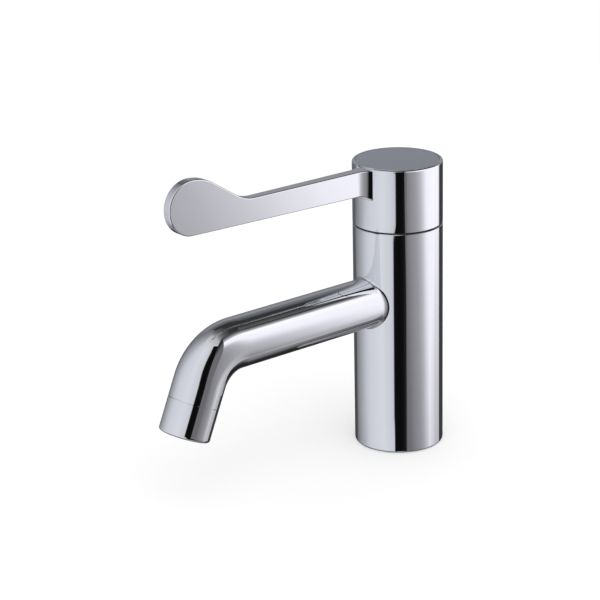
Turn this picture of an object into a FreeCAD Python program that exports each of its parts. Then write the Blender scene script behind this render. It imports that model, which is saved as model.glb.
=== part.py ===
import FreeCAD, Part
import math
import os

# Single-lever basin tap: a round column with a fixed spout, and a cap with a paddle lever that turns on it.
# Millimetres and degrees. The origin is the centre of the base, +Z is up and the spout points along -Y.

# Column and cap
tap_height = 148.0
column_radius = 22.5
column_wall = 2.5
seam_above_spout = 38.0
seam_gap = 0.7
cap_height = 32.0
edge_break = 0.5
edge_rounding = 1.0

# Spout
spout_radius = 12.5
spout_wall = 2.0
spout_straight = 105.0
spout_bend_radius = 23.0
spout_bend_angle = 67.0
outlet_straight = 27.0
spout_shoulder = 1.0
braze_gap = 0.1
cope_gap = 0.3

# Nozzle sleeve and the aerator inside it
sleeve_length = 17.0
sleeve_wall = 1.4
sleeve_thread_length = 6.0
sleeve_lip_length = 1.2
sleeve_lip_width = 1.7
sleeve_end_rounding = 1.4
spout_end_wall = 2.0
spout_end_length = 4.0
hairline = 0.3
washer_thickness = 1.6
washer_width = 2.9
aerator_flange = 1.4
aerator_wall = 1.0
air_window_count = 6
air_window_width = 3.0
aerator_clearance = 0.1
regulator_thickness = 2.4
regulator_hub_radius = 2.7
regulator_spoke_width = 1.4
screen_count = 2
screen_thickness = 0.4
screen_spacing = 1.3
grid_thickness = 2.0
grid_recess = 0.5
mesh_web = 0.6
mesh_rim = 0.6
mesh_rings = 2

# Core: foot, waist, head, its waterways and its O-rings
core_clearance = 0.2
foot_height = 14.0
waist_radius = 15.0
head_drop = 18.0
collar_height = 4.0
collar_width = 0.9
chamber_depth = 1.6
port_angles = (30.0, 150.0)
port_radius = 4.5
port_depth = 12.0
riser_radius = 3.0
gallery_radius = 4.5
stud_angle = 270.0
stud_radius = 3.4
stud_depth = 12.0
core_ring_thickness = 2.0
core_ring_land = 2.0
groove_clearance = 0.1
ring_sides = 8
gasket_width = 2.5
gasket_height = 2.0
gasket_clearance = 0.1

# Cartridge
cartridge_radius = 14.0
cartridge_depth = 16.0
cartridge_clearance = 0.2
cartridge_wall = 1.3
cartridge_base_thickness = 3.2
cartridge_flange_width = 1.2
cartridge_flange_thickness = 3.0
cartridge_roof_gap = 0.15
seal_width = 1.2
seal_height = 1.0
seal_spacing = 0.1
disc_thickness = 3.0
disc_film = 0.05
disc_clearance = 0.2
disc_land = 1.2
slot_half_width = 2.3
cold_slot = (32.0, 55.0)
hot_slot = (95.0, 148.0)
mixing_slot = (-9.0, -3.0)
mixing_depth = 1.8
driver_thickness = 4.0
lug_angles = (90.0, 270.0)
lug_width = 3.8
lug_length = 1.7
lug_depth = 1.9
lug_clearance = 0.1
drive_bar_length = 14.0
drive_bar_width = 5.0
drive_bar_depth = 3.0

# Stem, nut, stop ring and the ring that the cap glides on
stem_radius = 5.0
stem_clearance = 0.1
stem_foot_margin = 1.5
stem_foot_thickness = 2.0
stem_ring_thickness = 1.5
stem_ring_spacing = 4.0
neck_radius = 9.0
neck_flat_depth = 0.8
nut_thread_length = 11.5
nut_flange_clearance = 0.3
thread_clearance = 0.1
nut_hex_inset = 0.1
nut_hex_height = 3.0
hex_sides = 6
nut_bore_clearance = 0.4
stop_ring_thickness = 0.8
stop_rib_inner_radius = 9.6
stop_rib_outer_radius = 12.6
stop_rib_height = 2.6
stop_arm_angle = 270.0
stop_arm_width = 24.0
stop_clearance_angle = 2.0
handle_travel = 110.0
glide_collar_width = 1.5
glide_collar_height = 3.2
glide_recess = 0.5
glide_clearance = 0.08
glide_lift = 0.15

# Handle cap and what it holds
cap_wall = 2.5
cap_rim_wall = 1.5
cap_ledge_width = 1.5
cap_web_thickness = 7.8
cap_socket_wall = 2.3
cap_socket_roof = 3.6
cover_thickness = 1.6
cover_clearance = 0.1
clip_angles = (90.0, 210.0, 330.0)
clip_width = 5.0
clip_thickness = 1.2
clip_depth = 3.5
clip_clearance = 0.15
spline_teeth = 16
spline_depth = 0.5
spline_clearance = 0.06
adapter_wall = 1.2
adapter_key_count = 6
adapter_key_depth = 0.6
adapter_lift = 0.25
adapter_arm_thickness = 2.0
adapter_roof_gap = 0.3
screw_radius = 2.5
screw_length = 13.0
screw_head_radius = 4.5
screw_head_height = 3.2
screw_socket_radius = 1.7
screw_socket_depth = 2.0
screw_clearance = 0.1
screw_washer_radius = 5.2
screw_washer_thickness = 1.0

# Lever, which thins towards its end, and its flared root in the cap's slot
arm_thickness = 6.5
lever_end_thickness = 4.8
lever_root_depth = 13.4
arm_top_drop = 0.8
neck_top_drop = 0.2
neck_reach = 85.0
flare_radius = 10.0
flare_overrun = 2.0
lever_edge_radius = 0.6
neck_fillet_radius = 20.0
ramp_angle = 33.0
crown_radius = 23.0
paddle_radius = 13.3
paddle_reach = 128.1
paddle_rise = 2.1
lever_slot_width = 12.2
lever_slot_drop = 2.5
lever_slot_depth = 4.5
slot_clearance = 0.1
root_block_width = 10.0
root_block_inner = 6.5
lever_screw_radius = 1.25
lever_screw_head_radius = 2.3
lever_screw_head_spacing = 1.0
lever_screw_bite = 5.2
lever_screw_hole_bite = 5.8
lever_screw_socket_radius = 0.9
lever_screw_socket_depth = 1.0

# Levels and radii that several pieces share
seam_height = tap_height - cap_height
spout_height = seam_height - seam_above_spout
shell_inner_radius = column_radius - column_wall
core_radius = shell_inner_radius - core_clearance
core_top = seam_height - seam_gap / 2
ledge_level = core_top - nut_thread_length
seat_level = ledge_level - cartridge_depth
fixed_disc_level = seat_level + cartridge_base_thickness
moving_disc_level = fixed_disc_level + disc_thickness + disc_film
driver_level = moving_disc_level + disc_thickness
stem_foot_level = driver_level + driver_thickness
roof_level = stem_foot_level + stem_foot_thickness + cartridge_roof_gap
flange_top = ledge_level + cartridge_flange_thickness
nut_top = core_top + nut_hex_height
stop_top = nut_top + stop_ring_thickness
cap_bottom = seam_height + seam_gap / 2
cap_inner_radius = column_radius - cap_wall
pocket_floor = tap_height - lever_root_depth
cover_level = tap_height - cover_thickness
web_bottom = pocket_floor - cap_web_thickness
cover_recess_radius = column_radius - cap_rim_wall
pocket_radius = cover_recess_radius - cap_ledge_width
adapter_level = stop_top + adapter_lift
socket_level = adapter_level + adapter_arm_thickness
adapter_radius = stem_radius + adapter_wall
spline_top = pocket_floor - cap_socket_roof
slot_floor = pocket_floor - lever_slot_drop
spout_bore_radius = spout_radius - spout_wall
spout_spigot_radius = spout_radius - spout_shoulder
sleeve_bore_radius = spout_radius - sleeve_wall
spout_thread_radius = sleeve_bore_radius - thread_clearance
aerator_level = -sleeve_length + sleeve_thread_length + washer_thickness
aerator_cavity_radius = sleeve_bore_radius - sleeve_lip_width - aerator_wall
disc_radius = cartridge_radius - cartridge_wall - disc_clearance
port_circle = disc_radius - disc_land - slot_half_width
outlet_radius = port_circle - riser_radius - 2 * seal_width - seal_spacing
nut_thread_radius = cartridge_radius + cartridge_flange_width + nut_flange_clearance
neck_flat = neck_radius - neck_flat_depth
heel_reach = column_radius - lever_slot_depth + slot_clearance
foot_width = lever_slot_width / 2 - slot_clearance
foot_reach = math.sqrt(column_radius ** 2 - foot_width ** 2)
overshoot = 2.0
tiny = 0.001


def bar(radius, low, high, x=0.0, y=0.0):
    """Solid round bar along Z."""
    return Part.makeCylinder(radius, high - low, FreeCAD.Vector(x, y, low))


def ring(outer, inner, low, high):
    """Round ring of square section about Z."""
    hole = bar(inner, low - overshoot, high + overshoot)
    return bar(outer, low, high).cut(hole)


def turned(outline):
    """Solid turned about Z from an outline of (radius, height) corners."""
    corners = [FreeCAD.Vector(radius, 0, height) for radius, height in outline]
    face = Part.Face(Part.makePolygon(corners + corners[:1]))
    return face.revolve(FreeCAD.Vector(0, 0, 0), FreeCAD.Vector(0, 0, 1), 360)


def box(width, depth, low, high, x=0.0, y=0.0):
    """Upright box centred on (x, y)."""
    corner = FreeCAD.Vector(x - width / 2, y - depth / 2, low)
    return Part.makeBox(width, depth, high - low, corner)


def turn(shape, angle):
    """The same shape turned about Z."""
    copy = shape.copy()
    copy.rotate(FreeCAD.Vector(0, 0, 0), FreeCAD.Vector(0, 0, 1), angle)
    return copy


def polar(radius, angle):
    """Point in plan at a radius and an angle from +X."""
    return radius * math.cos(math.radians(angle)), radius * math.sin(math.radians(angle))


def prism(points, low, high):
    """Solid with flat sides from its corners in plan."""
    corners = [FreeCAD.Vector(x, y, low) for x, y in points]
    face = Part.Face(Part.makePolygon(corners + corners[:1]))
    return face.extrude(FreeCAD.Vector(0, 0, high - low))


def hexagon(radius, low, high, x=0.0, y=0.0):
    """Six-sided prism with a corner on +Y."""
    corners = [polar(radius, 90 + 360 * side / hex_sides) for side in range(hex_sides)]
    return prism([(x + dx, y + dy) for dx, dy in corners], low, high)


def splined(teeth, tip, root, low, high):
    """Bar with pointed teeth along Z."""
    step = 180 / teeth
    corners = [polar(tip if corner % 2 == 0 else root, corner * step) for corner in range(2 * teeth)]
    return prism(corners, low, high)


def sector(radius, start, end, low, high):
    """Slice of a round bar between two angles."""
    foot = FreeCAD.Vector(0, 0, low)
    return turn(Part.makeCylinder(radius, high - low, foot, FreeCAD.Vector(0, 0, 1), end - start), start)


def curved_slot(radius, half_width, start, end, low, high):
    """Slot bent round Z, with round ends, between two angles of its centre line."""
    slot = sector(radius + half_width, start, end, low, high)
    slot = slot.cut(bar(radius - half_width, low - overshoot, high + overshoot))
    for angle in (start, end):
        slot = slot.fuse(bar(half_width, low, high, *polar(radius, angle)))
    return slot.removeSplitter()


def along_spout(radius, near, far):
    """Round bar along the spout's straight stretch, from near to far off the column's axis."""
    start = FreeCAD.Vector(0, -near, spout_height)
    return Part.makeCylinder(radius, far - near, start, FreeCAD.Vector(0, -1, 0))


def at_outlet(shape):
    """Shape made with the flow along +Z and the nozzle's end at zero, set at the end of the spout."""
    bend = math.radians(spout_bend_angle)
    reach = spout_straight + spout_bend_radius * math.sin(bend) + outlet_straight * math.cos(bend)
    drop = spout_bend_radius * (1 - math.cos(bend)) + outlet_straight * math.sin(bend)
    tilt = FreeCAD.Rotation(FreeCAD.Vector(1, 0, 0), 90 + spout_bend_angle)
    placed = shape.copy()
    placed.Placement = FreeCAD.Placement(FreeCAD.Vector(0, -reach, spout_height - drop), tilt)
    return placed


def bent_bar(radius, end_straight):
    """Round bar on the spout's line: the straight, the bend and a straight stretch after it."""
    bend = math.radians(spout_bend_angle)
    drop = spout_height - spout_bend_radius

    def on_bend(angle):
        return FreeCAD.Vector(0, -spout_straight - spout_bend_radius * math.sin(angle),
                              drop + spout_bend_radius * math.cos(angle))

    start = FreeCAD.Vector(0, 0, spout_height)
    end = on_bend(bend) + FreeCAD.Vector(0, -math.cos(bend), -math.sin(bend)) * end_straight
    path = Part.Wire([Part.makeLine(start, on_bend(0)),
                      Part.Arc(on_bend(0), on_bend(bend / 2), on_bend(bend)).toShape(),
                      Part.makeLine(on_bend(bend), end)])
    circle = Part.Wire(Part.makeCircle(radius, start, FreeCAD.Vector(0, -1, 0)))
    return path.makePipeShell([circle], True, True)


def column_shell():
    """Chromed tube with the spout's hole, a seat for the core's collar and a groove for the gasket."""
    gasket_outer = core_radius - gasket_width / 2 + gasket_width + gasket_clearance
    collar_radius = shell_inner_radius + collar_width + core_clearance
    collar_level = core_top - collar_height
    shell = turned([(gasket_outer, 0),
                    (column_radius, 0),
                    (column_radius, core_top - edge_break / 2),
                    (column_radius - edge_break / 2, core_top),
                    (collar_radius, core_top),
                    (collar_radius, collar_level),
                    (shell_inner_radius, collar_level),
                    (shell_inner_radius, gasket_height),
                    (gasket_outer, gasket_height)])
    shell = rounded(shell, column_radius, 0, edge_rounding)
    return shell.cut(along_spout(spout_spigot_radius + braze_gap, 0, column_radius + overshoot))


def core_ring_levels():
    """Heights of the two O-rings, just clear of the spout's hole."""
    offset = spout_spigot_radius + core_ring_land + core_ring_thickness / 2
    return spout_height - offset, spout_height + offset


def valve_core():
    """Brass core that hangs in the column: inlet ports, risers, cartridge seat and outlet chamber."""
    gasket_inner = core_radius - gasket_width / 2 - gasket_clearance
    collar_radius = shell_inner_radius + collar_width
    collar_level = core_top - collar_height
    head_level = spout_height - head_drop
    thread_radius = nut_thread_radius + thread_clearance
    cavity_radius = cartridge_radius + cartridge_clearance
    core = turned([(0, 0),
                   (gasket_inner, 0),
                   (gasket_inner, gasket_height),
                   (core_radius, gasket_height),
                   (core_radius, foot_height),
                   (waist_radius, foot_height),
                   (waist_radius, head_level),
                   (core_radius, head_level),
                   (core_radius, collar_level),
                   (collar_radius, collar_level),
                   (collar_radius, core_top),
                   (thread_radius, core_top),
                   (thread_radius, ledge_level),
                   (cavity_radius, ledge_level),
                   (cavity_radius, seat_level),
                   (0, seat_level)])
    for angle in port_angles:
        x, y = polar(port_circle, angle)
        core = core.cut(bar(port_radius, -overshoot, port_depth, x, y))
        core = core.cut(bar(riser_radius, port_depth - overshoot, seat_level + overshoot, x, y))
    x, y = polar(port_circle, stud_angle)
    core = core.cut(bar(stud_radius, -overshoot, stud_depth, x, y))
    chamber_half = spout_spigot_radius
    core = core.cut(ring(core_radius + overshoot, core_radius - chamber_depth,
                         spout_height - chamber_half, spout_height + chamber_half))
    core = core.cut(bar(outlet_radius, spout_height, seat_level + overshoot))
    core = core.cut(along_spout(gallery_radius, 0, core_radius + overshoot))
    groove_half = core_ring_thickness / 2 + groove_clearance
    groove_radius = shell_inner_radius - core_ring_thickness - core_clearance
    for level in core_ring_levels():
        groove = ring(core_radius + overshoot, groove_radius, level - groove_half, level + groove_half)
        core = core.cut(groove)
    return core


def o_ring(outer, thickness, level):
    """O-ring out to a radius, of eight-sided section with flats where it is squeezed."""
    corner = thickness / 2 / math.cos(math.radians(180 / ring_sides))
    middle = outer - thickness / 2
    offsets = [polar(corner, 180 * (2 * side + 1) / ring_sides) for side in range(ring_sides)]
    return turned([(middle + across, level + up) for across, up in offsets])


def core_o_rings():
    """The two O-rings that seal the outlet chamber inside the column."""
    outer = shell_inner_radius - core_clearance / 2
    return Part.makeCompound([o_ring(outer, core_ring_thickness, level) for level in core_ring_levels()])


def base_gasket():
    """Flat ring that seals the base to the basin, flush with the base face."""
    middle = core_radius
    return ring(middle + gasket_width / 2, middle - gasket_width / 2, 0, gasket_height)


def spout_tube():
    """Bent tube, coped to the column, with a spigot brazed into it and a threaded end for the sleeve."""
    after_bend = outlet_straight - sleeve_length
    column = bar(column_radius + cope_gap, 0, tap_height)
    tube = bent_bar(spout_radius, after_bend).cut(column)
    spigot = along_spout(spout_spigot_radius, 0, column_radius + spout_wall)
    spigot = spigot.cut(bar(shell_inner_radius, 0, tap_height))
    thread_end = at_outlet(bar(spout_thread_radius, -sleeve_length - spout_end_length,
                               -sleeve_length + sleeve_thread_length))
    bore_end = at_outlet(bar(spout_thread_radius - spout_end_wall,
                             -sleeve_length - spout_end_length - overshoot, 0))
    tube = tube.fuse([spigot]).cut(bent_bar(spout_bore_radius, after_bend - spout_end_length))
    return tube.fuse([thread_end]).cut(bore_end).removeSplitter()


def rounded(shape, radius, level, rounding):
    """Rounds the outer edge that a turned piece has at one level."""
    rims = [edge for edge in shape.Edges
            if edge.BoundBox.ZLength < tiny and abs(edge.BoundBox.ZMax - level) < tiny
            and abs(edge.BoundBox.XMax - radius) < tiny]
    return shape.makeFillet(rounding, rims)


def nozzle_sleeve():
    """Chromed sleeve that screws over the spout's end and holds the aerator on its inner lip."""
    top = hairline - sleeve_length
    lip = sleeve_bore_radius - sleeve_lip_width
    sleeve = turned([(sleeve_bore_radius, top),
                     (spout_radius, top),
                     (spout_radius, 0),
                     (lip, 0),
                     (lip, -sleeve_lip_length),
                     (sleeve_bore_radius, -sleeve_lip_length)])
    return at_outlet(rounded(sleeve, spout_radius, 0, sleeve_end_rounding))


def aerator_washer():
    """Rubber washer between the spout's end and the aerator."""
    outer = spout_thread_radius
    return at_outlet(ring(outer, outer - washer_width, aerator_level - washer_thickness, aerator_level))


def aerator_housing():
    """Plastic cup with a flange on top and air windows in its wall."""
    flange_end = aerator_level + aerator_flange
    wall_radius = aerator_cavity_radius + aerator_wall - aerator_clearance
    flange = ring(spout_thread_radius, aerator_cavity_radius, aerator_level, flange_end)
    wall = ring(wall_radius, aerator_cavity_radius, flange_end, -grid_recess)
    housing = flange.fuse(wall).removeSplitter()
    window_end = -sleeve_lip_length - grid_thickness
    for index in range(air_window_count):
        window = box(2 * air_window_width, air_window_width, flange_end + edge_break, window_end, wall_radius)
        housing = housing.cut(turn(window, 360 * index / air_window_count))
    return at_outlet(housing)


def flow_regulator():
    """Spoked disc that meters the flow at the top of the aerator."""
    low = aerator_level
    high = aerator_level + regulator_thickness
    outer = aerator_cavity_radius - aerator_clearance
    body = ring(outer, outer - aerator_wall, low, high).fuse(bar(regulator_hub_radius, low, high))
    spoke_length = outer - aerator_wall / 2
    for index in range(air_window_count):
        spoke = box(spoke_length, regulator_spoke_width, low, high, spoke_length / 2)
        body = body.fuse(turn(spoke, 360 * index / air_window_count))
    return at_outlet(body.removeSplitter())


def honeycomb(radius, low, high):
    """Round plate with rings of six-sided holes, an even web apart."""
    pitch = (2 * (radius - mesh_rim) + mesh_web) / (2 * mesh_rings + 1)
    corner = (pitch - mesh_web) / 2 / math.cos(math.radians(180 / hex_sides))
    row_height = pitch * math.sin(math.radians(360 / hex_sides))
    holes = []
    for row in range(-mesh_rings, mesh_rings + 1):
        count = 2 * mesh_rings + 1 - abs(row)
        for column in range(count):
            x = (column - (count - 1) / 2) * pitch
            holes.append(hexagon(corner, low - overshoot, high + overshoot, x, row * row_height))
    return bar(radius, low, high).cut(holes)


def aerator_screens():
    """Two fine screens that break the flow up."""
    radius = aerator_cavity_radius - aerator_clearance
    screens = []
    for index in range(screen_count):
        low = aerator_level + regulator_thickness + index * (screen_thickness + screen_spacing)
        screens.append(at_outlet(honeycomb(radius, low, low + screen_thickness)))
    return Part.makeCompound(screens)


def outlet_grid():
    """Honeycomb that straightens the water at the nozzle's mouth."""
    radius = aerator_cavity_radius - aerator_clearance
    return at_outlet(honeycomb(radius, -grid_recess - grid_thickness, -grid_recess))


def cartridge_base():
    """Plastic foot of the cartridge, with its ports and the rebates of their seals."""
    low = seat_level - overshoot
    high = fixed_disc_level + overshoot
    rebate_top = seat_level + seal_height
    base = bar(cartridge_radius, seat_level, fixed_disc_level)
    base = base.cut([bar(outlet_radius, low, high), bar(outlet_radius + seal_width, low, rebate_top)])
    for angle in port_angles:
        x, y = polar(port_circle, angle)
        base = base.cut(bar(riser_radius, low, high, x, y))
        base = base.cut(bar(riser_radius + seal_width, low, rebate_top, x, y))
    return base


def cartridge_port_seals():
    """Rubber rings round the three ports, between the cartridge and its seat."""
    low = seat_level
    high = seat_level + seal_height
    seals = [ring(outlet_radius + seal_width, outlet_radius, low, high)]
    for angle in port_angles:
        seal = ring(riser_radius + seal_width, riser_radius, low, high)
        seal.translate(FreeCAD.Vector(*polar(port_circle, angle), 0))
        seals.append(seal)
    return Part.makeCompound(seals)


def fixed_ceramic_disc():
    """Lower disc: a slot for each inlet and the outlet hole in the middle."""
    low = fixed_disc_level - overshoot
    high = fixed_disc_level + disc_thickness + overshoot
    disc = bar(disc_radius, fixed_disc_level, fixed_disc_level + disc_thickness)
    disc = disc.cut(bar(outlet_radius, low, high))
    for start, end in (cold_slot, hot_slot):
        disc = disc.cut(curved_slot(port_circle, slot_half_width, start, end, low, high))
    return disc


def lug_box(low, high, slack):
    """One of the two lugs that turn the upper disc, or its notch with some slack."""
    outer = disc_radius + overshoot
    inner = disc_radius - lug_length - slack
    return box(outer - inner, lug_width + 2 * slack, low, high, (outer + inner) / 2)


def moving_ceramic_disc():
    """Upper disc: a blind slot from the middle that joins one inlet or both to the outlet."""
    low = moving_disc_level
    top = low + disc_thickness
    disc = bar(disc_radius, low, top)
    recess = curved_slot(port_circle, slot_half_width, *mixing_slot, low - overshoot, low + mixing_depth)
    channel = box(port_circle, 2 * slot_half_width, low - overshoot, low + mixing_depth, port_circle / 2)
    recess = recess.fuse(turn(channel, sum(mixing_slot) / 2))
    recess = recess.fuse(bar(outlet_radius, low - overshoot, low + mixing_depth))
    disc = disc.cut(recess)
    for angle in lug_angles:
        disc = disc.cut(turn(lug_box(top - lug_depth - lug_clearance, top + overshoot, lug_clearance), angle))
    return disc


def disc_driver():
    """Plastic carrier between the stem's bar and the upper disc."""
    top = driver_level + driver_thickness
    driver = bar(disc_radius, driver_level, top)
    for angle in lug_angles:
        lug = lug_box(driver_level - lug_depth, driver_level, 0).common(bar(disc_radius, 0, tap_height))
        driver = driver.fuse(turn(lug, angle))
    slack = 2 * lug_clearance
    socket = box(drive_bar_length + slack, drive_bar_width + slack, top - drive_bar_depth - lug_clearance,
                 top + overshoot)
    return driver.removeSplitter().cut(socket)


def stem_ring_levels():
    """Heights of the stem's two O-rings in the cartridge's neck."""
    middle = (flange_top + stop_top) / 2
    return middle - stem_ring_spacing / 2, middle + stem_ring_spacing / 2


def cartridge_stem():
    """Brass stem: drive bar, foot, two O-ring grooves, splined head and a threaded hole for the screw."""
    stem_top = spline_top - adapter_roof_gap
    foot_radius = disc_radius - stem_foot_margin
    bar_level = stem_foot_level - drive_bar_depth
    stem = bar(foot_radius, stem_foot_level, stem_foot_level + stem_foot_thickness)
    stem = stem.fuse(bar(stem_radius, stem_foot_level, adapter_level))
    stem = stem.fuse(box(drive_bar_length, drive_bar_width, bar_level, stem_foot_level))
    stem = stem.fuse(splined(spline_teeth, stem_radius, stem_radius - spline_depth, adapter_level, stem_top))
    groove_half = stem_ring_thickness / 2 + groove_clearance
    groove_radius = stem_radius - stem_ring_thickness
    for level in stem_ring_levels():
        groove = ring(stem_radius + overshoot, groove_radius, level - groove_half, level + groove_half)
        stem = stem.cut(groove)
    hole_end = pocket_floor + screw_washer_thickness - screw_length - overshoot
    stem = stem.cut(bar(screw_radius + thread_clearance, hole_end, stem_top + overshoot))
    return stem.removeSplitter()


def stem_o_rings():
    """O-rings in the stem's grooves."""
    outer = stem_radius + stem_clearance / 2
    return Part.makeCompound([o_ring(outer, stem_ring_thickness, level) for level in stem_ring_levels()])


def flatted(radius, flat, low, high):
    """Round bar with a flat on each side, across X."""
    return bar(radius, low, high).common(box(2 * flat, 2 * radius + overshoot, low, high))


def cartridge_housing():
    """Plastic body of the cartridge: skirt, clamping flange and the neck that guides the stem."""
    skirt_inner = cartridge_radius - cartridge_wall
    body = turned([(skirt_inner, fixed_disc_level),
                   (cartridge_radius, fixed_disc_level),
                   (cartridge_radius, ledge_level),
                   (cartridge_radius + cartridge_flange_width, ledge_level),
                   (cartridge_radius + cartridge_flange_width, flange_top),
                   (0, flange_top),
                   (0, roof_level),
                   (skirt_inner, roof_level)])
    body = body.fuse(flatted(neck_radius, neck_flat, flange_top, stop_top)).removeSplitter()
    return body.cut(bar(stem_radius + stem_clearance, roof_level - overshoot, stop_top + overshoot))


def cartridge_nut():
    """Brass nut that screws into the core and clamps the cartridge by its flange."""
    nut = bar(nut_thread_radius, flange_top, core_top)
    nut = nut.fuse(hexagon(nut_thread_radius - nut_hex_inset, core_top, nut_top)).removeSplitter()
    return nut.cut(bar(neck_radius + nut_bore_clearance, flange_top - overshoot, nut_top + overshoot))


def stop_ring():
    """Plastic ring keyed to the neck, whose rib stops the handle at both ends of its travel."""
    plate = bar(stop_rib_outer_radius, nut_top, stop_top)
    plate = plate.cut(flatted(neck_radius + stem_clearance, neck_flat + stem_clearance,
                              nut_top - overshoot, stop_top + overshoot))
    way_start = stop_arm_angle - stop_arm_width / 2 - stop_clearance_angle
    way_end = stop_arm_angle + stop_arm_width / 2 + stop_clearance_angle + handle_travel
    rib = sector(stop_rib_outer_radius, way_end, way_start + 360, stop_top, stop_top + stop_rib_height)
    rib = rib.cut(bar(stop_rib_inner_radius, stop_top - overshoot, stop_top + stop_rib_height + overshoot))
    return plate.fuse(rib).removeSplitter()


def glide_ring():
    """Dark plastic ring in the seam, with a collar that guides the cap."""
    outer = cap_inner_radius - glide_clearance
    inner = outer - glide_collar_width
    return turned([(inner, core_top),
                   (column_radius - glide_recess, core_top),
                   (column_radius - glide_recess, cap_bottom - glide_lift),
                   (outer, cap_bottom - glide_lift),
                   (outer, core_top + glide_collar_height),
                   (inner, core_top + glide_collar_height)])


def adapter_section(slack, low, high):
    """Outside of the spline adapter, or its socket with some slack."""
    tip = adapter_radius + slack
    return splined(adapter_key_count, tip, tip - adapter_key_depth, low, high)


def spline_adapter():
    """Plastic sleeve between the stem's splines and the cap, with the arm that meets the stops."""
    sleeve = bar(adapter_radius, adapter_level, socket_level)
    sleeve = sleeve.fuse(adapter_section(0, socket_level, spline_top))
    arm = sector(stop_rib_outer_radius, stop_arm_angle - stop_arm_width / 2,
                 stop_arm_angle + stop_arm_width / 2, adapter_level, socket_level)
    sleeve = sleeve.fuse(arm).removeSplitter()
    tip = stem_radius + spline_clearance
    return sleeve.cut(splined(spline_teeth, tip, tip - spline_depth, adapter_level - overshoot,
                              spline_top + overshoot))


def lever_screw_places():
    """Distances of the lever's screws from the axis, centred in the root block."""
    middle = (root_block_inner + heel_reach) / 2
    offset = lever_screw_head_radius + lever_screw_head_spacing / 2
    return middle - offset, middle + offset


def handle_cap():
    """Chromed cap: skirt, web, splined socket, pocket for the lever's root and recess for the cover."""
    socket_outer = adapter_radius + cap_socket_wall
    cap = turned([(cap_inner_radius, cap_bottom),
                  (column_radius - edge_break / 2, cap_bottom),
                  (column_radius, cap_bottom + edge_break / 2),
                  (column_radius, tap_height),
                  (cover_recess_radius, tap_height),
                  (cover_recess_radius, cover_level),
                  (pocket_radius, cover_level),
                  (pocket_radius, pocket_floor),
                  (0, pocket_floor),
                  (0, socket_level),
                  (socket_outer, socket_level),
                  (socket_outer, web_bottom),
                  (cap_inner_radius, web_bottom)])
    cap = rounded(cap, column_radius, tap_height, edge_rounding)
    cap = cap.cut(adapter_section(spline_clearance, socket_level - overshoot, spline_top))
    cap = cap.cut(bar(screw_radius + screw_clearance, socket_level, pocket_floor + overshoot))
    cap = cap.cut(box(lever_slot_width, lever_slot_depth + overshoot, slot_floor, tap_height + overshoot,
                      0, -column_radius + (lever_slot_depth - overshoot) / 2))
    for distance in lever_screw_places():
        cap = cap.cut(bar(lever_screw_radius + thread_clearance, pocket_floor - lever_screw_hole_bite,
                          pocket_floor + overshoot, 0, -distance))
    return cap


def flare(start, along, aside, foot):
    """Arc that leaves the straight through start and ends in foot; returns where it leaves, and the arc."""
    offset = foot - start
    run = math.sqrt(flare_radius ** 2 - (flare_radius - offset.dot(aside)) ** 2)
    touch = start + along * (offset.dot(along) - run)
    centre = touch + aside * flare_radius
    last = centre + turned_towards(foot - centre, along, flare_overrun)
    middle = (touch + last - centre * 2).normalize() * flare_radius
    return touch, Part.Arc(touch, centre + middle, last).toShape(), last


def turned_towards(radius_vector, along, length):
    """The radius vector swung on by an arc of the given length."""
    swung = (radius_vector + along * length).normalize()
    return swung * flare_radius


def lever_side():
    """Side outline of the lever as a face in the YZ plane: arm, neck, ramp, crown, paddle and flare."""
    def point(reach, height):
        return FreeCAD.Vector(0, -reach, height)

    def on_circle(centre, radius, angle):
        along, up = polar(radius, angle)
        return point(centre[0] + along, centre[1] + up)

    top = tap_height
    paddle = (paddle_reach, top + paddle_rise)
    crown = (paddle_reach, top + paddle_rise + paddle_radius - crown_radius)
    away = math.hypot(paddle[0] - column_radius, paddle[1] - pocket_floor)
    rise = math.atan2(paddle[1] - pocket_floor, paddle[0] - column_radius) - math.asin(paddle_radius / away)
    low_end = on_circle(paddle, paddle_radius, math.degrees(rise) - 90)
    inward = (point(column_radius, pocket_floor) - low_end).normalize()
    downward = FreeCAD.Vector(0, inward.z, -inward.y).normalize()
    touch, under, heel = flare(low_end, inward, downward, point(foot_reach, slot_floor + slot_clearance))
    arm_root = point(-heel.y, top - arm_top_drop)
    slope = math.atan2(arm_top_drop - neck_top_drop, neck_reach + heel.y)
    ramp = math.radians(ramp_angle)
    crown_end = on_circle(crown, crown_radius, 90 + ramp_angle)
    across = heel.y - crown_end.y
    climb = crown_end.z - arm_root.z
    corner = (climb - across * math.tan(ramp)) / (math.tan(slope) - math.tan(ramp))
    tangent = neck_fillet_radius * math.tan((ramp - slope) / 2)
    bend = point(corner - heel.y, arm_root.z + corner * math.tan(slope))
    neck_start = bend + point(-math.cos(slope), -math.sin(slope)) * tangent
    ramp_foot = bend + point(math.cos(ramp), math.sin(ramp)) * tangent
    neck = neck_start + point(-math.sin(slope), math.cos(slope)) * neck_fillet_radius
    halfway = (slope + ramp) / 2
    neck_low = neck + point(math.sin(halfway), -math.cos(halfway)) * neck_fillet_radius
    edges = [Part.makeLine(low_end, touch),
             under,
             Part.makeLine(heel, arm_root),
             Part.makeLine(arm_root, neck_start),
             Part.Arc(neck_start, neck_low, ramp_foot).toShape(),
             Part.makeLine(ramp_foot, crown_end),
             Part.Arc(crown_end, on_circle(crown, crown_radius, 90 + ramp_angle / 2),
                      on_circle(crown, crown_radius, 90)).toShape(),
             Part.Arc(on_circle(paddle, paddle_radius, 90), on_circle(paddle, paddle_radius, 0),
                      low_end).toShape()]
    return Part.Face(Part.Wire(edges))


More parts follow.
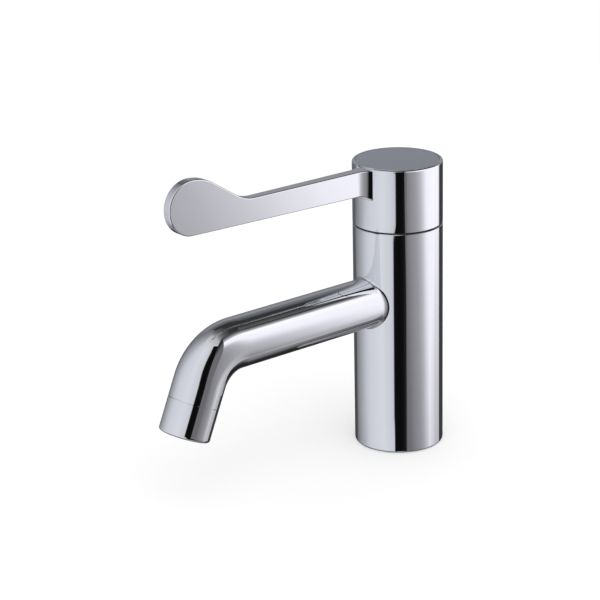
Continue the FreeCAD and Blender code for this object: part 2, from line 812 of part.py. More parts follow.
def lever_plan():
    """The lever from above as a face in the XY plane: two flanks that close towards the end, and flares."""
    end = -paddle_reach - paddle_radius
    foot = FreeCAD.Vector(foot_width, -foot_reach, 0)
    tip = FreeCAD.Vector(lever_end_thickness / 2, end, 0)
    inward = (FreeCAD.Vector(arm_thickness / 2, -column_radius, 0) - tip).normalize()
    outward = FreeCAD.Vector(inward.y, -inward.x, 0)
    touch, side, heel = flare(tip, inward, outward, foot)
    mirror = FreeCAD.Placement(FreeCAD.Vector(), FreeCAD.Rotation(FreeCAD.Vector(0, 1, 0), 180))
    half = [Part.makeLine(tip, touch), side]
    other = [edge.copy() for edge in half]
    for edge in other:
        edge.Placement = mirror.multiply(edge.Placement)
    ends = [Part.makeLine(FreeCAD.Vector(-tip.x, end, 0), tip),
            Part.makeLine(heel, FreeCAD.Vector(-heel.x, heel.y, 0))]
    return Part.Face(Part.Wire(Part.sortEdges(half + other + ends)[0]))


def lever():
    """Chromed paddle lever: a tapered plate whose flared root fills the cap's slot and is screwed down."""
    side = lever_side()
    side.translate(FreeCAD.Vector(-lever_slot_width, 0, 0))
    plan = lever_plan()
    plate = side.extrude(FreeCAD.Vector(2 * lever_slot_width, 0, 0))
    plate = plate.common(plan.extrude(FreeCAD.Vector(0, 0, 2 * tap_height)))
    long_edges = [edge for edge in plate.Edges
                  if edge.Vertexes[0].X * edge.Vertexes[-1].X > 0 and -edge.CenterOfMass.y > column_radius]
    plate = plate.makeFillet(lever_edge_radius, long_edges)
    plate = plate.cut(bar(column_radius, 0, 2 * tap_height))
    heel = box(lever_slot_width - 2 * slot_clearance, column_radius - heel_reach,
               slot_floor + slot_clearance, tap_height - arm_top_drop, 0, -(column_radius + heel_reach) / 2)
    heel = heel.common(bar(column_radius, 0, tap_height))
    block = box(root_block_width, heel_reach - root_block_inner, pocket_floor, cover_level,
                0, -(heel_reach + root_block_inner) / 2)
    whole = plate.fuse([heel, block]).removeSplitter()
    whole = whole.cut(bar(cover_recess_radius, cover_level, tap_height + overshoot))
    for distance in lever_screw_places():
        hole = bar(lever_screw_radius + screw_clearance, pocket_floor - overshoot, cover_level + overshoot,
                   0, -distance)
        whole = whole.cut([hole, screw_cone(distance, screw_clearance)])
    return whole


def screw_cone(distance, slack):
    """Countersunk head of a lever screw, or its seat with some slack."""
    outer = lever_screw_head_radius + slack
    inner = lever_screw_radius + slack
    foot = FreeCAD.Vector(0, -distance, cover_level - outer + inner)
    return Part.makeCone(inner, outer, outer - inner, foot)


def lever_screws():
    """Two countersunk screws that hold the lever's root down in the cap."""
    screws = []
    for distance in lever_screw_places():
        screw = bar(lever_screw_radius, pocket_floor - lever_screw_bite, cover_level, 0, -distance)
        screw = screw.fuse(screw_cone(distance, 0)).removeSplitter()
        socket = hexagon(lever_screw_socket_radius, cover_level - lever_screw_socket_depth,
                         cover_level + overshoot, 0, -distance)
        screws.append(screw.cut(socket))
    return Part.makeCompound(screws)


def top_cover():
    """Satin disc flush with the cap's rim, held by three clips in the pocket."""
    outer = cover_recess_radius - cover_clearance
    chamfer = hairline
    cover = turned([(0, cover_level), (outer, cover_level), (outer, tap_height - chamfer),
                    (outer - chamfer, tap_height), (0, tap_height)])
    clip_outer = pocket_radius - clip_clearance
    for angle in clip_angles:
        clip = ring(clip_outer, clip_outer - clip_thickness, cover_level - clip_depth, cover_level)
        clip = clip.common(box(clip_outer, clip_width, cover_level - clip_depth, cover_level, clip_outer))
        cover = cover.fuse(turn(clip, angle))
    return cover.removeSplitter()


def handle_washer():
    """Washer under the head of the handle's screw."""
    return ring(screw_washer_radius, screw_radius + screw_clearance, pocket_floor,
                pocket_floor + screw_washer_thickness)


def handle_screw():
    """Screw that pulls the cap down on the stem."""
    seat = pocket_floor + screw_washer_thickness
    head_top = seat + screw_head_height
    screw = bar(screw_radius, seat - screw_length, seat)
    screw = screw.fuse(bar(screw_head_radius, seat, head_top)).removeSplitter()
    return screw.cut(hexagon(screw_socket_radius, head_top - screw_socket_depth, head_top + overshoot))


pieces = {
    "column_shell": column_shell,
    "valve_core": valve_core,
    "core_o_rings": core_o_rings,
    "base_gasket": base_gasket,
    "spout_tube": spout_tube,
    "nozzle_sleeve": nozzle_sleeve,
    "aerator_washer": aerator_washer,
    "aerator_housing": aerator_housing,
    "flow_regulator": flow_regulator,
    "aerator_screens": aerator_screens,
    "outlet_grid": outlet_grid,
    "cartridge_base": cartridge_base,
    "cartridge_port_seals": cartridge_port_seals,
    "fixed_ceramic_disc": fixed_ceramic_disc,
    "moving_ceramic_disc": moving_ceramic_disc,
    "disc_driver": disc_driver,
    "cartridge_stem": cartridge_stem,
    "stem_o_rings": stem_o_rings,
    "cartridge_housing": cartridge_housing,
    "cartridge_nut": cartridge_nut,
    "stop_ring": stop_ring,
    "glide_ring": glide_ring,
    "spline_adapter": spline_adapter,
    "handle_cap": handle_cap,
    "lever": lever,
    "lever_screws": lever_screws,
    "top_cover": top_cover,
    "handle_washer": handle_washer,
    "handle_screw": handle_screw,
}

os.makedirs("parts", exist_ok=True)
for name, make in pieces.items():
    make().exportStep("parts/" + name + ".step")
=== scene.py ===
import math

import bmesh
import bpy
from mathutils import Matrix, Vector


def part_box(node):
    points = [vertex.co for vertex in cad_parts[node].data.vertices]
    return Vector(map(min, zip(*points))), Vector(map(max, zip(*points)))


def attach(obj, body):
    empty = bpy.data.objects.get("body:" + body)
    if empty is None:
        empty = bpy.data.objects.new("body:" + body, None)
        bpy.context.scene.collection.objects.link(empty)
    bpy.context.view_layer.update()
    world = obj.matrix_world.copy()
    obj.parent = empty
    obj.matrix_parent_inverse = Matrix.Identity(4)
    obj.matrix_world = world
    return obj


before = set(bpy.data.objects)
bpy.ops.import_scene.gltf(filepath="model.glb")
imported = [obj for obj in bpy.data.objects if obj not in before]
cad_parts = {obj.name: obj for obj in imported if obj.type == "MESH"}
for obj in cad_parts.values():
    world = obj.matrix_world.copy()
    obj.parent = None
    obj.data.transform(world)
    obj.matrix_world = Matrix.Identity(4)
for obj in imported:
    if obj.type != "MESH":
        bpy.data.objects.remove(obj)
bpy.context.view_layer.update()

# A Mix node's colour sockets go by number, because its number sockets bear the same names.
mix_first, mix_second, mix_result = 6, 7, 2


def shader_of(material):
    """The surface shader that a new material starts with."""
    return material.node_tree.nodes["Principled BSDF"]


def finish_of(name, base, metallic, roughness):
    """A new material with its own colour, metal share and roughness."""
    material = bpy.data.materials.new(name)
    material.use_nodes = True
    inputs = shader_of(material).inputs
    inputs["Base Color"].default_value = (*base, 1)
    inputs["Metallic"].default_value = metallic
    inputs["Roughness"].default_value = roughness
    return material


def grain_of(material, scale, detail, stretch=(1, 1, 1)):
    """A cloud of noise fixed to the piece, scale in cells per metre."""
    nodes, links = material.node_tree.nodes, material.node_tree.links
    place = nodes.new("ShaderNodeTexCoord")
    mapping = nodes.new("ShaderNodeMapping")
    mapping.inputs["Scale"].default_value = stretch
    noise = nodes.new("ShaderNodeTexNoise")
    noise.inputs["Scale"].default_value = scale
    noise.inputs["Detail"].default_value = detail
    links.new(place.outputs["Object"], mapping.inputs["Vector"])
    links.new(mapping.outputs["Vector"], noise.inputs["Vector"])
    return noise


def vary_colour(material, noise, low, high):
    """Lets the noise move the colour between two colours."""
    nodes, links = material.node_tree.nodes, material.node_tree.links
    mix = nodes.new("ShaderNodeMix")
    mix.data_type = "RGBA"
    mix.inputs[mix_first].default_value = (*low, 1)
    mix.inputs[mix_second].default_value = (*high, 1)
    links.new(noise.outputs["Fac"], mix.inputs["Factor"])
    links.new(mix.outputs[mix_result], shader_of(material).inputs["Base Color"])


def vary_roughness(material, noise, low, high):
    """Lets the noise, which keeps mostly to its middle, move the roughness between two values."""
    noise_low, noise_high = 0.3, 0.7
    nodes, links = material.node_tree.nodes, material.node_tree.links
    reach = nodes.new("ShaderNodeMapRange")
    reach.inputs["From Min"].default_value = noise_low
    reach.inputs["From Max"].default_value = noise_high
    reach.inputs["To Min"].default_value = low
    reach.inputs["To Max"].default_value = high
    links.new(noise.outputs["Fac"], reach.inputs["Value"])
    links.new(reach.outputs["Result"], shader_of(material).inputs["Roughness"])


def dent(material, noise, strength, depth):
    """Turns the noise into relief, depth in metres."""
    nodes, links = material.node_tree.nodes, material.node_tree.links
    bump = nodes.new("ShaderNodeBump")
    bump.inputs["Strength"].default_value = strength
    bump.inputs["Distance"].default_value = depth
    links.new(noise.outputs["Fac"], bump.inputs["Height"])
    links.new(bump.outputs["Normal"], shader_of(material).inputs["Normal"])


def polished_chrome(name, ripple):
    """Bright chrome plate; ripple is how much the polishing wheel has left in the surface."""
    material = finish_of(name, (0.80, 0.81, 0.83), metallic=1.0, roughness=0.03)
    haze = grain_of(material, scale=90, detail=6)
    vary_colour(material, haze, (0.785, 0.795, 0.815), (0.825, 0.832, 0.845))
    smear = grain_of(material, scale=260, detail=8)
    vary_roughness(material, smear, 0.018, 0.045)
    wave = grain_of(material, scale=55, detail=2)
    dent(material, wave, strength=ripple, depth=0.0004)
    return material


def dress(node, material):
    """Puts the material on a piece that came with the frame."""
    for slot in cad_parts[node].material_slots:
        slot.material = material


flat_ripple = 0.012
dress("column_shell", polished_chrome("column_chrome", flat_ripple))

# ---- Valve core, its O-rings and the foot gasket ------------------------------------------------
# A turned brass core inside the column holds the two inlet ports, the stud hole and the cartridge
# seat. Two rubber rings seal it in the shell and a flat rubber gasket sits under the foot.


def turned_brass(name):
    """Bare brass with the fine rings that a lathe leaves across the axis."""
    material = finish_of(name, (0.75, 0.58, 0.30), metallic=1.0, roughness=0.24)
    tarnish = grain_of(material, scale=60, detail=5)
    vary_colour(material, tarnish, (0.70, 0.53, 0.26), (0.79, 0.62, 0.34))
    rings = grain_of(material, scale=160, detail=3, stretch=(0.2, 0.2, 12))
    vary_roughness(material, rings, 0.18, 0.34)
    dent(material, rings, strength=0.12, depth=0.0001)
    return material


def moulded_rubber(name):
    """Matt black rubber, faintly dusty."""
    material = finish_of(name, (0.05, 0.05, 0.05), metallic=0.0, roughness=0.6)
    dust = grain_of(material, scale=300, detail=8)
    vary_colour(material, dust, (0.035, 0.035, 0.037), (0.065, 0.064, 0.062))
    skin = grain_of(material, scale=1800, detail=4)
    vary_roughness(material, skin, 0.5, 0.72)
    dent(material, skin, strength=0.25, depth=0.00008)
    return material


core_brass = turned_brass("core_brass")
seal_rubber = moulded_rubber("seal_rubber")
dress("valve_core", core_brass)
dress("core_o_rings", seal_rubber)
dress("base_gasket", seal_rubber)

# ---- Spout tube ---------------------------------------------------------------------------------
# A 25 mm brass tube brazed into the column, level at first and bent down at its end, then plated.
# Bending leaves a slow wave in the polish, which breaks up what the tube mirrors.
bent_ripple = 0.02
spout_chrome = polished_chrome("spout_chrome", bent_ripple)
dress("spout_tube", spout_chrome)

# ---- Spout joint --------------------------------------------------------------------------------
# The fillet of braze round the spout's root, ground hollow and plated over with the rest. It closes
# the gap between the tube and the column, so no dirt line is left.
column_low, column_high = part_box("column_shell")
column_radius = (column_high[0] - column_low[0]) / 2
spout_low, spout_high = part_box("spout_tube")
spout_radius = (spout_high[0] - spout_low[0]) / 2
spout_level = spout_high[2] - spout_radius
tube_leg = 0.0020  # how far the fillet reaches along the tube
column_leg = 0.0010  # and out over the column
turn_leg = 0.0004  # where its curve turns, short of the corner: the less, the hollower
fillet_root = 0.0002  # depth of its root in the gap
fillet_steps = 10
saddle_steps = 144


def on_column(turn, radius):
    """The point of the column's surface at an angle and radius round the spout's axis."""
    aside = radius * math.cos(turn)
    ahead = -math.sqrt(column_radius ** 2 - aside ** 2)
    return Vector((aside, ahead, spout_level + radius * math.sin(turn)))


def fillet_profile(turn):
    """Hollow curve from the tube to the column, closed by a root in the gap."""
    corner = on_column(turn, spout_radius)
    tube_foot = corner + Vector((0, -tube_leg, 0))
    turn_point = corner + Vector((0, -turn_leg, 0))
    column_foot = on_column(turn, spout_radius + column_leg)
    curve = []
    for step in range(fillet_steps + 1):
        share = step / fillet_steps
        curve.append(tube_foot * (1 - share) ** 2 + turn_point * (2 * share * (1 - share))
                     + column_foot * share ** 2)
    return curve + [on_column(turn, spout_radius - fillet_root)]


joint_mesh = bpy.data.meshes.new("spout_joint")
joint = bmesh.new()
rings = [[joint.verts.new(point) for point in fillet_profile(2 * math.pi * step / saddle_steps)]
         for step in range(saddle_steps)]
for ring, after in zip(rings, rings[1:] + rings[:1]):
    for place in range(len(ring)):
        beside = (place + 1) % len(ring)
        face = joint.faces.new((ring[place], ring[beside], after[beside], after[place]))
        face.smooth = True
    for foot in (0, fillet_steps):
        joint.edges.get((ring[foot], after[foot])).smooth = False
bmesh.ops.recalc_face_normals(joint, faces=joint.faces)
joint.to_mesh(joint_mesh)
joint.free()
joint_mesh.materials.append(spout_chrome)
spout_joint = bpy.data.objects.new("spout_joint", joint_mesh)
bpy.context.scene.collection.objects.link(spout_joint)
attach(spout_joint, "tap_body")

# ---- Nozzle sleeve ------------------------------------------------------------------------------
# A short chromed sleeve of the tube's own width, screwed on its end to hold the aerator. Only a
# hairline shows where it meets the tube.
dress("nozzle_sleeve", polished_chrome("sleeve_chrome", flat_ripple))

# ---- Aerator ------------------------------------------------------------------------------------
# Rubber washer, white moulded cup, grey flow regulator, two steel screens and a grey honeycomb
# that fills the nozzle's mouth and is pressed in from below.


def moulded_plastic(name, base, roughness):
    """Moulded plastic with a slightly uneven colour and a fine skin."""
    material = finish_of(name, base, metallic=0.0, roughness=roughness)
    deep = tuple(0.93 * share for share in base)
    pale = tuple(min(1.0, 1.05 * share) for share in base)
    cloud = grain_of(material, scale=140, detail=4)
    vary_colour(material, cloud, deep, pale)
    skin = grain_of(material, scale=2400, detail=6)
    vary_roughness(material, skin, roughness - 0.06, roughness + 0.1)
    dent(material, skin, strength=0.15, depth=0.00005)
    return material


def stainless(name):
    """Stainless steel, drawn or turned and left as it is."""
    material = finish_of(name, (0.60, 0.60, 0.60), metallic=1.0, roughness=0.3)
    brushed = grain_of(material, scale=500, detail=4, stretch=(1, 1, 6))
    vary_colour(material, brushed, (0.56, 0.56, 0.56), (0.65, 0.65, 0.64))
    vary_roughness(material, brushed, 0.24, 0.4)
    dent(material, brushed, strength=0.1, depth=0.00005)
    return material


white_moulding = moulded_plastic("white_moulding", (0.82, 0.82, 0.80), roughness=0.38)
grey_moulding = moulded_plastic("grey_moulding", (0.45, 0.46, 0.48), roughness=0.42)
bright_steel = stainless("bright_steel")
dress("aerator_washer", seal_rubber)
dress("aerator_housing", white_moulding)
dress("flow_regulator", grey_moulding)
dress("aerator_screens", bright_steel)
dress("outlet_grid", grey_moulding)

# ---- Cartridge ----------------------------------------------------------------------------------
# A progressive cartridge: two lapped ceramic discs in a white body, a splined brass stem that turns
# the upper one, rubber seals round the ports and a brass nut that clamps it all in the core.


def lapped_ceramic(name):
    """Off-white ceramic with the even gloss of lapping."""
    material = finish_of(name, (0.90, 0.88, 0.84), metallic=0.0, roughness=0.16)
    cloud = grain_of(material, scale=220, detail=7)
    vary_colour(material, cloud, (0.86, 0.84, 0.80), (0.93, 0.91, 0.88))
    lapping = grain_of(material, scale=900, detail=5)
    vary_roughness(material, lapping, 0.12, 0.24)
    return material


disc_ceramic = lapped_ceramic("disc_ceramic")
stem_brass = turned_brass("stem_brass")
dress("cartridge_base", white_moulding)
dress("cartridge_port_seals", seal_rubber)
dress("fixed_ceramic_disc", disc_ceramic)
dress("moving_ceramic_disc", disc_ceramic)
dress("disc_driver", white_moulding)
dress("cartridge_stem", stem_brass)
dress("stem_o_rings", seal_rubber)
dress("cartridge_housing", white_moulding)
dress("cartridge_nut", stem_brass)

# ---- Stop ring, glide ring and spline adapter ---------------------------------------------------
# Plastic parts between the still column and the turning cap: the grey ring's rib meets the white
# adapter's arm at both ends of the turn, and the black ring shows as the fine dark seam.
seam_black = moulded_plastic("seam_black", (0.010, 0.010, 0.012), roughness=0.6)
dress("stop_ring", grey_moulding)
dress("glide_ring", seam_black)
dress("spline_adapter", white_moulding)

# ---- Handle cap ---------------------------------------------------------------------------------
# A turned and plated cap of the column's width, slotted down its front for the lever's root and
# recessed on top for the cover disc.
dress("handle_cap", polished_chrome("cap_chrome", flat_ripple))

# ---- Lever and its screws -----------------------------------------------------------------------
# A forged brass blade that thins from 6.5 mm at its flared root to under 5 mm at the round paddle,
# edges eased, then chrome plated. Two steel screws hold the root in the cap's slot.
dress("lever", polished_chrome("lever_chrome", flat_ripple))
dress("lever_screws", bright_steel)

# ---- Top cover ----------------------------------------------------------------------------------
# A thin satin metal disc that snaps into the cap's recess and hides the screw. Its face is bare,
# with the even grain of fine blasting.


def satin_metal(name):
    """Finely blasted metal."""
    material = finish_of(name, (0.80, 0.83, 0.88), metallic=1.0, roughness=0.3)
    blasted = grain_of(material, scale=3000, detail=4)
    cloud = grain_of(material, scale=45, detail=4)
    vary_colour(material, cloud, (0.78, 0.81, 0.86), (0.83, 0.86, 0.91))
    vary_roughness(material, blasted, 0.26, 0.38)
    dent(material, blasted, strength=0.15, depth=0.00004)
    return material


dress("top_cover", satin_metal("cover_satin"))

# ---- Handle screw and washer --------------------------------------------------------------------
# A steel cap screw that goes through its washer and the cap's floor into the stem, and so holds the
# cap down. Both are of plain stainless steel and hidden by the top cover.
dress("handle_screw", bright_steel)
dress("handle_washer", bright_steel)

# ---- Floor and backdrop -------------------------------------------------------------------------
# A white sweep: matt, lit like the tap, and lifted to plain white where the camera looks at it, so
# only the tap's own faint shadow is left on it. The air round it is white too.
floor_reach = 30.0
floor_drop = 0.0002
floor_lift = 0.30
air_light = 0.84
air_seen = 1.0

sweep = bpy.data.meshes.new("floor")
sheet = bmesh.new()
bmesh.ops.create_grid(sheet, x_segments=1, y_segments=1, size=floor_reach)
sheet.to_mesh(sweep)
sheet.free()
floor = bpy.data.objects.new("floor", sweep)
bpy.context.scene.collection.objects.link(floor)
floor.location.z = -floor_drop
floor.visible_glossy = False

floor_paint = finish_of("floor_white", (0.80, 0.80, 0.80), metallic=0.0, roughness=1.0)
floor_inputs = shader_of(floor_paint).inputs
floor_inputs["Specular IOR Level"].default_value = 0.0
floor_inputs["Emission Color"].default_value = (1, 1, 1, 1)
rays = floor_paint.node_tree.nodes.new("ShaderNodeLightPath")
lift = floor_paint.node_tree.nodes.new("ShaderNodeMath")
lift.operation = "MULTIPLY"
lift.inputs[1].default_value = floor_lift
floor_paint.node_tree.links.new(rays.outputs["Is Camera Ray"], lift.inputs[0])
floor_paint.node_tree.links.new(lift.outputs[0], floor_inputs["Emission Strength"])
sweep.materials.append(floor_paint)

world = bpy.data.worlds.new("studio_air")
bpy.context.scene.world = world
world.use_nodes = True
air, wires = world.node_tree.nodes, world.node_tree.links
background = air["Background"]
background.inputs["Color"].default_value = (1, 1, 1, 1)
rays = air.new("ShaderNodeLightPath")
seen = rays.outputs["Is Camera Ray"]
for kind in ("Is Glossy Ray", "Is Transmission Ray"):
    either = air.new("ShaderNodeMath")
    either.operation = "MAXIMUM"
    wires.new(seen, either.inputs[0])
    wires.new(rays.outputs[kind], either.inputs[1])
    seen = either.outputs[0]
strength = air.new("ShaderNodeMapRange")
strength.inputs["To Min"].default_value = air_light
strength.inputs["To Max"].default_value = air_seen
wires.new(seen, strength.inputs["Value"])
wires.new(strength.outputs["Result"], background.inputs["Strength"])

# ---- Studio cards -------------------------------------------------------------------------------
# Glowing cards that are no lamps and paint the reflections in the chrome: a tall white panel on the
# right, a black flag in front, a pale wall from the front round to the left, a dim back, ceiling
# and ground. Only mirrored rays meet them.
chrome_share = 0.81
ground_level = -0.55
ceiling_level = 0.95
least_lean = 0.01
even = [(ground_level, 1.0), (ceiling_level, 1.0)]
upright = [(ground_level, 0.0), (ceiling_level, 0.0)]


def tone(level, tint):
    """Glow that a card needs for its painted reflection to show at a screen level of 0 to 255, by
    the screen's own curve, once the chrome has taken its share."""
    value = level / 255
    light = value / 12.92 if value < 0.04 else ((value + 0.055) / 1.055) ** 2.4
    return tuple(light / chrome_share * share for share in tint) + (1,)


def grey(share):
    return (share, share, share, 1)


def hang_card(name, mesh):
    """Places a glowing card of painted reflection where only mirrored rays meet it."""
    hung = bpy.data.objects.new(name, mesh)
    bpy.context.scene.collection.objects.link(hung)
    hung.visible_camera = False
    hung.visible_diffuse = False
    hung.visible_shadow = False
    hung.visible_transmission = False


def ramp_of(nodes, stops):
    """A colour ramp with the given (place, colour) stops."""
    ramp = nodes.new("ShaderNodeValToRGB")
    marks = ramp.color_ramp.elements
    marks[0].position, marks[0].color = stops[0]
    marks[1].position, marks[1].color = stops[-1]
    for at, colour in stops[1:-1]:
        marks.new(at).color = colour
    return ramp


def glow_of(name, along, upward, lean, tint):
    """Light graded along a card and up it, by shares of its length and height; lean pushes the
    grading along by a share that changes with the height, so that a light's edge can slant."""
    material = bpy.data.materials.new(name)
    material.use_nodes = True
    nodes, links = material.node_tree.nodes, material.node_tree.links
    nodes.clear()
    place = nodes.new("ShaderNodeUVMap")
    split = nodes.new("ShaderNodeSeparateXYZ")
    links.new(place.outputs["UV"], split.inputs["Vector"])

    pushes = [push for at, push in lean]
    least, most = min(pushes), max(max(pushes), min(pushes) + least_lean)
    slant = ramp_of(nodes, [(at, grey((push - least) / (most - least))) for at, push in lean])
    pushed = nodes.new("ShaderNodeMapRange")
    pushed.inputs["To Min"].default_value = least
    pushed.inputs["To Max"].default_value = most
    run = nodes.new("ShaderNodeMath")
    links.new(split.outputs["Y"], slant.inputs["Fac"])
    links.new(slant.outputs["Color"], pushed.inputs["Value"])
    links.new(split.outputs["X"], run.inputs[0])
    links.new(pushed.outputs["Result"], run.inputs[1])

    across = ramp_of(nodes, [(at, tone(level, tint)) for at, level in along])
    climb = ramp_of(nodes, [(at, grey(share)) for at, share in upward])
    links.new(run.outputs[0], across.inputs["Fac"])
    links.new(split.outputs["Y"], climb.inputs["Fac"])
    blend = nodes.new("ShaderNodeMix")
    blend.data_type = "RGBA"
    blend.blend_type = "MULTIPLY"
    blend.inputs["Factor"].default_value = 1.0
    links.new(across.outputs["Color"], blend.inputs[mix_first])
    links.new(climb.outputs["Color"], blend.inputs[mix_second])

    glow = nodes.new("ShaderNodeEmission")
    out = nodes.new("ShaderNodeOutputMaterial")
    links.new(blend.outputs[mix_result], glow.inputs["Color"])
    links.new(glow.outputs["Emission"], out.inputs["Surface"])
    return material


def height_share(height):
    return (height - ground_level) / (ceiling_level - ground_level)


def card(name, corners, along, upward=even, lean=upright, tint=(1, 1, 1)):
    """A wall over the corners of its foot; along is (share of its length, level), upward is
    (height, share of that light) and lean is (height, push in metres)."""
    feet = [Vector((x, y, 0)) for x, y in corners]
    runs = [0.0]
    for before, after in zip(feet, feet[1:]):
        runs.append(runs[-1] + (after - before).length)
    length = runs[-1]
    mesh = bpy.data.meshes.new(name)
    wall = bmesh.new()
    laid = wall.loops.layers.uv.new("lay")
    posts = [[wall.verts.new((foot.x, foot.y, level)) for level in (ground_level, ceiling_level)]
             for foot in feet]
    for place, (left, right) in enumerate(zip(posts, posts[1:])):
        face = wall.faces.new((left[0], right[0], right[1], left[1]))
        start, end = runs[place] / length, runs[place + 1] / length
        for loop, lay in zip(face.loops, ((start, 0), (end, 0), (end, 1), (start, 1))):
            loop[laid].uv = lay
    wall.to_mesh(mesh)
    wall.free()
    climb = [(height_share(height), share) for height, share in upward]
    slant = [(height_share(height), push / length) for height, push in lean]
    mesh.materials.append(glow_of(name, along, climb, slant, tint))
    hang_card(name, mesh)


def level_card(name, height, start, end, along, near=(-0.7, -0.7), far=(0.7, 1.0)):
    """A card laid flat between two of its corners, graded from start towards end."""
    mesh = bpy.data.meshes.new(name)
    sheet = bmesh.new()
    laid = sheet.loops.layers.uv.new("lay")
    span = Vector(end) - Vector(start)
    corners = [sheet.verts.new((x, y, height))
               for x, y in (near, (far[0], near[1]), far, (near[0], far[1]))]
    for loop in sheet.faces.new(corners).loops:
        loop[laid].uv = ((loop.vert.co.xy - Vector(start)).dot(span) / span.length_squared, 0)
    sheet.to_mesh(mesh)
    sheet.free()
    mesh.materials.append(glow_of(name, along, upward=[(0.0, 1.0), (1.0, 1.0)],
                                  lean=[(0.0, 0.0), (1.0, 0.0)], tint=(1, 1, 1)))
    hang_card(name, mesh)


# Corners of the cards' feet, in metres, from the flag round by the right, the back and the left.
flag_left = (0.297, -0.380)
flag_right = (0.556, -0.259)
panel_near = (0.28, -0.10)
panel_turn = (0.28, 0.66)
panel_far = (0.03, 0.80)
corner_turn = (-0.22, 0.62)
back_split = (-0.36, 0.416)
back_turn = (-0.44, 0.30)
wall_end = (-0.5, -0.02)
wall_turn = (-0.34, -0.38)
wall_front = (0.02, -0.50)

# Over this height the cards show in the cap, and under it in the column; the leans change between
# the two heights so that the painted reflections fall differently in each.
seam_mirrored = -0.031
seam_passed = -0.024

cool = (0.96, 0.98, 1.06)
warm_white = (1.0, 0.985, 1.06)

# Each card's tones, from black to white, are the painted reflections that its part of the chrome
# shows.
card("white_panel", [panel_near, panel_turn, panel_far],
     along=[(0.0, 113), (0.076, 138), (0.124, 149), (0.16, 164), (0.191, 179), (0.226, 202),
            (0.253, 221), (0.282, 237), (0.325, 245), (0.44, 247), (0.52, 252), (0.86, 252),
            (1.0, 190)],
     upward=[(ground_level, 0.45), (-0.3, 0.5), (-0.2, 0.68), (-0.10, 0.92), (0.0, 1.0),
             (0.44, 1.0), (0.5, 0.42), (0.58, 0.29), (0.67, 0.13), (0.78, 0.07),
             (ceiling_level, 0.07)],
     lean=[(ground_level, -0.20), (-0.1, -0.035), (0.0, 0.0), (0.15, 0.08), (0.25, 0.14),
           (0.36, 0.30), (0.6, 0.45), (ceiling_level, 0.45)],
     tint=warm_white)
card("panel_return", [flag_right, panel_near],
     along=[(0.0, 22), (0.6, 36), (0.82, 88), (0.9, 98), (1.0, 104)],
     upward=[(ground_level, 1.0), (0.35, 1.0), (0.6, 0.2), (ceiling_level, 0.1)],
     lean=[(ground_level, 0.0), (seam_mirrored, 0.0), (seam_passed, 0.27), (ceiling_level, 0.27)],
     tint=warm_white)
card("black_flag", [flag_left, flag_right],
     along=[(0.0, 190), (0.03, 110), (0.07, 24), (0.12, 14), (0.5, 11), (0.88, 16), (1.0, 28)],
     lean=[(ground_level, 0.018), (-0.034, 0.02), (seam_mirrored, -0.036), (0.014, -0.036),
           (0.034, 0.008), (0.1, 0.0), (0.25, 0.0), (0.6, -0.05), (ceiling_level, -0.05)])
card("front_wall", [flag_left, wall_front, wall_turn, wall_end],
     along=[(0.0, 20), (0.006, 90), (0.014, 165), (0.022, 190), (0.037, 200), (0.1, 206),
            (0.25, 216), (0.52, 206), (0.634, 194), (0.75, 170), (0.9, 138), (1.0, 114)],
     upward=[(ground_level, 0.3), (-0.34, 0.35), (-0.24, 1.0), (ceiling_level, 1.0)],
     lean=[(ground_level, 0.04), (-0.2, 0.04), (-0.17, 0.0), (seam_mirrored, 0.0),
           (seam_passed, 0.04), (ceiling_level, 0.04)],
     tint=cool)

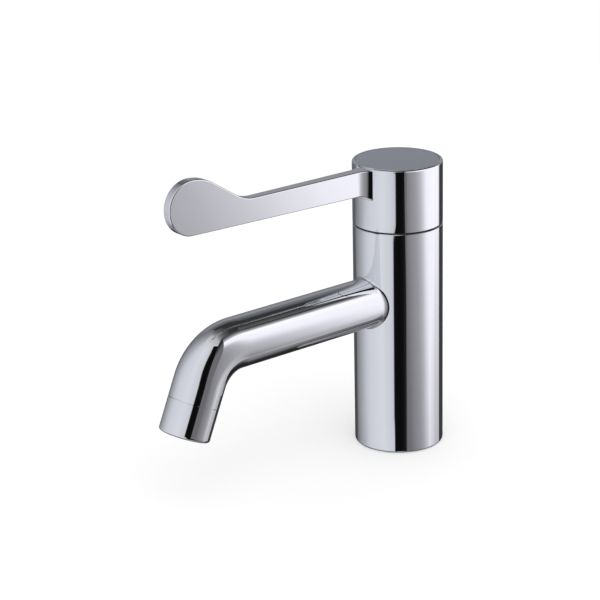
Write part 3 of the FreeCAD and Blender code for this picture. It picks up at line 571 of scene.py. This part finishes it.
high_back = [(0.1, 0.77), (0.2, 0.77), (0.25, 1.0), (0.35, 1.0), (0.41, 0.66), (0.49, 0.56),
             (0.58, 0.45), (0.67, 0.31), (0.75, 0.14), (ceiling_level, 0.11)]
card("back_wall", [wall_end, back_turn, back_split],
     along=[(0.0, 128), (0.44, 141), (1.0, 141)],
     upward=[(ground_level, 0.15), (-0.3, 0.19), (-0.1, 0.31), (0.0, 0.46)] + high_back,
     tint=cool)
card("back_corner", [back_split, corner_turn, panel_far],
     along=[(0.0, 141), (1.0, 141)],
     upward=[(ground_level, 0.15), (-0.3, 0.16), (-0.02, 0.17)] + high_back,
     tint=cool)

level_card("ceiling_card", ceiling_level, start=(0.0, 0.2), end=(0.0, -0.4),
           along=[(0.0, 50), (0.12, 50), (0.42, 93), (0.5, 113), (0.59, 140), (0.68, 178),
                  (0.83, 190), (1.0, 205)])
level_card("ceiling_corner", ceiling_level - 0.01, start=(-0.1, 0.3), end=(0.3, 0.3),
           along=[(0.0, 46), (0.3, 52), (1.0, 94)], near=(-0.1, 0.34))
level_card("ground_card", ground_level, start=(-0.1, 0.6), end=(0.40, 0.10),
           along=[(0.0, 22), (0.3, 50), (0.5, 125), (1.0, 150)])

# ---- Key lamp and camera ------------------------------------------------------------------------
# One large soft box high on the right, weak beside the room's own light, and a long lens that looks
# down from the tap's front right.
lamp_target = Vector((0, -0.04, 0.08))
soft_box = bpy.data.lights.new("soft_box", "AREA")
soft_box.size = 1.4
soft_box.energy = 5.0
key = bpy.data.objects.new("soft_box", soft_box)
bpy.context.scene.collection.objects.link(key)
key.location = (0.8, -0.5, 1.3)
key.rotation_euler = (lamp_target - key.location).to_track_quat("-Z", "Y").to_euler()
key.visible_glossy = False

camera_place = Vector((0.77026, -0.69680, 0.44083))
view_line = Vector((-0.72877, 0.59873, -0.33229)).normalized()
camera_lean = math.radians(-1.234)
lens = bpy.data.cameras.new("camera")
lens.sensor_width = 36
lens.lens = 130.94
camera = bpy.data.objects.new("camera", lens)
bpy.context.scene.collection.objects.link(camera)
level_right = view_line.cross(Vector((0, 0, 1))).normalized()
level_up = level_right.cross(view_line)
right = level_right * math.cos(camera_lean) + level_up * math.sin(camera_lean)
up = right.cross(view_line)
camera.matrix_world = Matrix((
    (right.x, up.x, -view_line.x, camera_place.x),
    (right.y, up.y, -view_line.y, camera_place.y),
    (right.z, up.z, -view_line.z, camera_place.z),
    (0, 0, 0, 1)))
bpy.context.scene.camera = camera
bpy.context.scene.view_settings.view_transform = "Standard"

bpy.context.view_layer.update()
